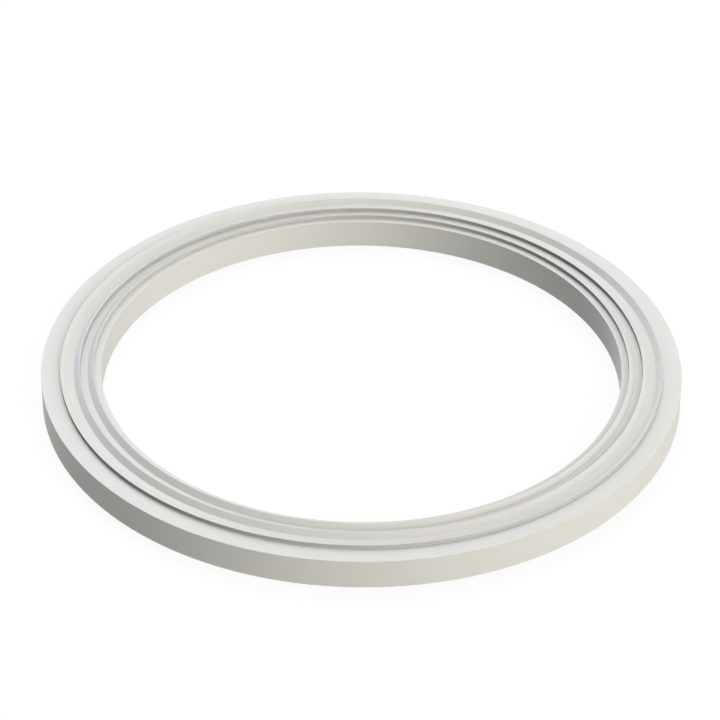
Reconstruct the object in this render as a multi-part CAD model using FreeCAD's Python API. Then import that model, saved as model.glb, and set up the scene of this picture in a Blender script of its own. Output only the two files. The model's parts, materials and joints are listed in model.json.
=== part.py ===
import FreeCAD, Part

import math
import os

# Ribbed gasket: one moulded ring, turned about +Z from a single section.
# Millimetres and degrees. The origin is the centre of the flat underside.

# Body
bore_diameter = 96.8
body_thickness = 5.65
edge_break = 0.05

# Flat lands of the upper face, from the bore outwards
bore_land_width = 1.34
inner_land_width = 1.4
outer_land_width = 1.4
rim_width = 3.54

# Section of one sealing rib: a steep lip, a narrow crest and a long ramp
rib_height = 0.75
rib_base_width = 1.14
crest_width = 0.06
lip_draft = 2
lip_root_radius = 0.1


def rib_corners(inner_foot, lip_faces_bore):
    """Section corners of one rib, from its foot nearer the bore outwards."""
    lip_run = rib_height * math.tan(math.radians(lip_draft))
    corners = [
        (0, 0, lip_root_radius),
        (lip_run, rib_height, 0),
        (lip_run + crest_width, rib_height, 0),
        (rib_base_width, 0, 0),
    ]
    if not lip_faces_bore:
        corners = [(rib_base_width - reach, rise, rounding) for reach, rise, rounding in reversed(corners)]
    return [(inner_foot + reach, body_thickness + rise, rounding) for reach, rise, rounding in corners]


def section_corners():
    """The ring's closed section as (radius, height, rounding), clockwise from below the bore wall."""
    bore_radius = bore_diameter / 2
    inner_rib = bore_radius + bore_land_width
    middle_rib = inner_rib + rib_base_width + inner_land_width
    outer_rib = middle_rib + rib_base_width + outer_land_width
    outer_radius = outer_rib + rib_base_width + rim_width
    return [
        (bore_radius + edge_break, 0, 0),
        (bore_radius, edge_break, 0),
        (bore_radius, body_thickness - edge_break, 0),
        (bore_radius + edge_break, body_thickness, 0),
        *rib_corners(inner_rib, lip_faces_bore=True),
        *rib_corners(middle_rib, lip_faces_bore=True),
        *rib_corners(outer_rib, lip_faces_bore=False),
        (outer_radius - edge_break, body_thickness, 0),
        (outer_radius, body_thickness - edge_break, 0),
        (outer_radius, edge_break, 0),
        (outer_radius - edge_break, 0, 0),
    ]


def corner_arc(before, corner, after, rounding):
    """Start, middle and end of the arc that rounds a corner between its two neighbours."""
    back = (before - corner).normalize()
    ahead = (after - corner).normalize()
    half_angle = back.getAngle(ahead) / 2
    setback = rounding / math.tan(half_angle)
    depth = rounding / math.sin(half_angle) - rounding
    middle = corner + (back + ahead).normalize() * depth
    return corner + back * setback, middle, corner + ahead * setback


def section_wire(corners):
    """A closed wire in the XZ plane through the corners, rounded where a corner says so."""
    points = [FreeCAD.Vector(radius, 0, height) for radius, height, rounding in corners]
    arcs = [
        corner_arc(points[number - 1], points[number], points[(number + 1) % len(points)], rounding)
        for number, (radius, height, rounding) in enumerate(corners)
    ]
    edges = []
    for number, (start, middle, end) in enumerate(arcs):
        edges.append(Part.LineSegment(arcs[number - 1][2], start).toShape())
        if corners[number][2] > 0:
            edges.append(Part.Arc(start, middle, end).toShape())
    return Part.Wire(edges)


def make_gasket():
    """The whole ring: its section turned once about the vertical axis."""
    section = Part.Face(section_wire(section_corners()))
    return section.revolve(FreeCAD.Vector(0, 0, 0), FreeCAD.Vector(0, 0, 1), 360)


os.makedirs("parts", exist_ok=True)
make_gasket().exportStep("parts/gasket.step")
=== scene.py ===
import json
import math

import bpy
from mathutils import Matrix, Vector

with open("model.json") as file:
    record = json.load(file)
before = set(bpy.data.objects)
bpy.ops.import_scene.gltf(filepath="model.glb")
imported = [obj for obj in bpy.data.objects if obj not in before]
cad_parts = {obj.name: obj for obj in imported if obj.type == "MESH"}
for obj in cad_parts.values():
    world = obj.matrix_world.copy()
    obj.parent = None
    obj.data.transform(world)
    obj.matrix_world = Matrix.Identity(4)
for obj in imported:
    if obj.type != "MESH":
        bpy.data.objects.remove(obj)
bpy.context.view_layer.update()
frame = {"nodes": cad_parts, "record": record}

# Sizes in metres: the outside is the frame's, and the body is as high as the ring's flat lands
mounts = {mount["name"]: mount for mount in frame["record"]["mounts"]}
outer_radius = mounts["outer_rim"]["dims"]["r_mm"] / 1000
body_thickness = 0.00565

# Camera: where the photograph was taken from, in outer radii and degrees, and its lens in
# millimetres
camera_elevation = 35.08
camera_roll = 0.48
camera_distance = 9.991
camera_aside = -0.0049
camera_raised = 0.0058
camera_lens = 159.5
camera_reach = 100

# Lamps: azimuth and elevation in degrees, spread, which is how wide each looks from the
# ring, as width over distance, and level, which is how bright it alone would make a white
# surface that faces it
lamp_distance = 5.0
lamps = {
    "key": dict(azimuth=-30, elevation=30, spread=0.8, level=0.4, colour=(0.99, 1.0, 1.0)),
    "low_key": dict(azimuth=-35, elevation=12, spread=0.4, level=0.25, colour=(1.0, 0.91, 0.74)),
    "front": dict(azimuth=-75, elevation=30, spread=0.8, level=0.26, colour=(1.0, 0.98, 0.92)),
    "top": dict(azimuth=90, elevation=70, spread=0.8, level=0.43, colour=(1.0, 0.99, 0.95)),
    "back": dict(azimuth=100, elevation=40, spread=0.8, level=0.45, colour=(0.83, 0.89, 1.0)),
    "low_side": dict(azimuth=120, elevation=10, spread=0.35, level=0.38, colour=(0.82, 0.91, 1.0)),
}

# Floor: what is seen of it is a glow with a little of the lit white that keeps the shadow, and
# what the ring gets from it is the even light of a pale floor
floor_half_width = 20.0
floor_glow = 0.92
floor_lit = 0.1
floor_light = 0.47
floor_light_colour = (1.0, 1.0, 0.98)

# Rubber: lengths are in metres, and the drift's depth is a share of the colour
rubber_colour = (0.79, 0.78, 0.75)
rubber_specular = 0.3
drift_size = 0.012
drift_detail = 3
drift_depth = 0.008
grain_size = 0.0004
grain_detail = 2
grain_height = 0.000003
grain_roughness = (0.56, 0.64)
noise_range = (0.3, 0.7)


def place_camera():
    """The camera, at the photograph's viewpoint, with the small roll of its frame."""
    elevation = math.radians(camera_elevation)
    back = Vector((0, -math.cos(elevation), math.sin(elevation)))
    up = Vector((0, math.sin(elevation), math.cos(elevation)))
    aim = Vector((0, 0, body_thickness))
    camera = bpy.data.objects.new("camera", bpy.data.cameras.new("camera"))
    bpy.context.scene.collection.objects.link(camera)
    camera.data.lens = camera_lens
    camera.data.clip_end = camera_reach
    offset = Vector((camera_aside, 0, 0)) + camera_raised * up + camera_distance * back
    facing = Matrix((Vector((1, 0, 0)), up, back)).transposed()
    turn = facing @ Matrix.Rotation(math.radians(camera_roll), 3, "Z")
    camera.matrix_world = Matrix.Translation(aim + outer_radius * offset) @ turn.to_4x4()
    bpy.context.scene.camera = camera


def place_lamp(name, azimuth, elevation, spread, level, colour):
    """A round soft lamp that looks at the middle of the ring."""
    lamp = bpy.data.objects.new(name, bpy.data.lights.new(name, "AREA"))
    bpy.context.scene.collection.objects.link(lamp)
    lamp.data.shape = "DISK"
    lamp.data.size = spread * lamp_distance
    lamp.data.energy = level * (math.pi * lamp_distance) ** 2
    lamp.data.color = colour
    around = math.radians(azimuth)
    above = math.radians(elevation)
    flat = math.cos(above)
    towards = Vector((math.cos(around) * flat, math.sin(around) * flat, math.sin(above)))
    lamp.location = towards * lamp_distance
    lamp.rotation_euler = towards.to_track_quat("Z", "Y").to_euler()


def new_material(name):
    """An empty node material and its output."""
    material = bpy.data.materials.new(name)
    material.use_nodes = True
    material.node_tree.nodes.clear()
    output = material.node_tree.nodes.new("ShaderNodeOutputMaterial")
    return material, material.node_tree, output


def seen_share(tree):
    """1 on rays that show a thing, straight or in shiny or clear faces, and 0 on other rays."""
    path = tree.nodes.new("ShaderNodeLightPath")
    share = path.outputs["Is Camera Ray"]
    for kind in ("Is Glossy Ray", "Is Transmission Ray"):
        either = tree.nodes.new("ShaderNodeMath")
        either.operation = "MAXIMUM"
        tree.links.new(share, either.inputs[0])
        tree.links.new(path.outputs[kind], either.inputs[1])
        share = either.outputs[0]
    return share


def make_floor():
    """A pale floor that looks white, with the ring's soft shadow kept on it."""
    half = floor_half_width
    corners = [(-half, -half, 0), (half, -half, 0), (half, half, 0), (-half, half, 0)]
    mesh = bpy.data.meshes.new("floor")
    mesh.from_pydata(corners, [], [(0, 1, 2, 3)])
    floor = bpy.data.objects.new("floor", mesh)
    bpy.context.scene.collection.objects.link(floor)
    material, tree, output = new_material("floor")
    glow = tree.nodes.new("ShaderNodeEmission")
    glow.inputs["Color"].default_value = (1, 1, 1, 1)
    glow.inputs["Strength"].default_value = floor_glow
    lit = tree.nodes.new("ShaderNodeBsdfDiffuse")
    lit.inputs["Color"].default_value = (floor_lit, floor_lit, floor_lit, 1)
    seen = tree.nodes.new("ShaderNodeAddShader")
    given = tree.nodes.new("ShaderNodeEmission")
    given.inputs["Color"].default_value = (*floor_light_colour, 1)
    given.inputs["Strength"].default_value = floor_light
    choose = tree.nodes.new("ShaderNodeMixShader")
    tree.links.new(glow.outputs[0], seen.inputs[0])
    tree.links.new(lit.outputs[0], seen.inputs[1])
    tree.links.new(seen_share(tree), choose.inputs["Fac"])
    tree.links.new(given.outputs[0], choose.inputs[1])
    tree.links.new(seen.outputs[0], choose.inputs[2])
    tree.links.new(choose.outputs[0], output.inputs["Surface"])
    mesh.materials.append(material)


def make_world():
    """A world that looks white past the floor's edge and gives no light."""
    world = bpy.data.worlds.new("studio")
    world.use_nodes = True
    bpy.context.scene.world = world
    tree = world.node_tree
    tree.nodes.clear()
    output = tree.nodes.new("ShaderNodeOutputWorld")
    white = tree.nodes.new("ShaderNodeBackground")
    white.inputs["Color"].default_value = (1, 1, 1, 1)
    tree.links.new(seen_share(tree), white.inputs["Strength"])
    tree.links.new(white.outputs[0], output.inputs["Surface"])


def rubber_material():
    """Off-white moulded rubber, satin all over."""
    material, tree, output = new_material("gasket_rubber")

    def node(kind, *sources, **settings):
        """A node with its settings, and its first sockets linked or set in their order."""
        made = tree.nodes.new("ShaderNode" + kind)
        for name, value in settings.items():
            setattr(made, name, value)
        for socket, source in enumerate(sources):
            if isinstance(source, bpy.types.NodeSocket):
                tree.links.new(source, made.inputs[socket])
            else:
                made.inputs[socket].default_value = source
        return made

    def noise(size, detail):
        """A noise in the object's own place, with features of about this size."""
        texture = node("TexNoise", node("TexCoord").outputs["Object"])
        texture.inputs["Scale"].default_value = 1 / size
        texture.inputs["Detail"].default_value = detail
        return texture.outputs["Fac"]

    # Moulding: slow drifts of tone and a fine matt grain
    drift = noise(drift_size, drift_detail)
    drift_tone = node("MapRange", drift, *noise_range, 1 - drift_depth, 1 + drift_depth).outputs[0]
    grain = noise(grain_size, grain_detail)
    roughness = node("MapRange", grain, *noise_range, *grain_roughness).outputs[0]
    bump = node("Bump")
    bump.inputs["Strength"].default_value = 1
    bump.inputs["Distance"].default_value = grain_height
    tree.links.new(grain, bump.inputs["Height"])

    # Between its own faces the rubber passes on no light, so the lips stay crisp
    seen = node("LightPath").outputs["Is Camera Ray"]
    tone = node("Math", drift_tone, seen, operation="MULTIPLY").outputs[0]
    colour = node("VectorMath", rubber_colour, operation="SCALE")
    tree.links.new(tone, colour.inputs["Scale"])

    skin = node("BsdfPrincipled")
    skin.inputs["Specular IOR Level"].default_value = rubber_specular
    tree.links.new(colour.outputs[0], skin.inputs["Base Color"])
    tree.links.new(roughness, skin.inputs["Roughness"])
    tree.links.new(bump.outputs[0], skin.inputs["Normal"])
    tree.links.new(skin.outputs[0], output.inputs["Surface"])
    return material


place_camera()
for lamp_name, lamp_values in lamps.items():
    place_lamp(lamp_name, **lamp_values)
make_floor()
make_world()
gasket = frame["nodes"]["gasket"]
gasket.material_slots[0].material = rubber_material()
bpy.context.scene.view_settings.view_transform = "Standard"
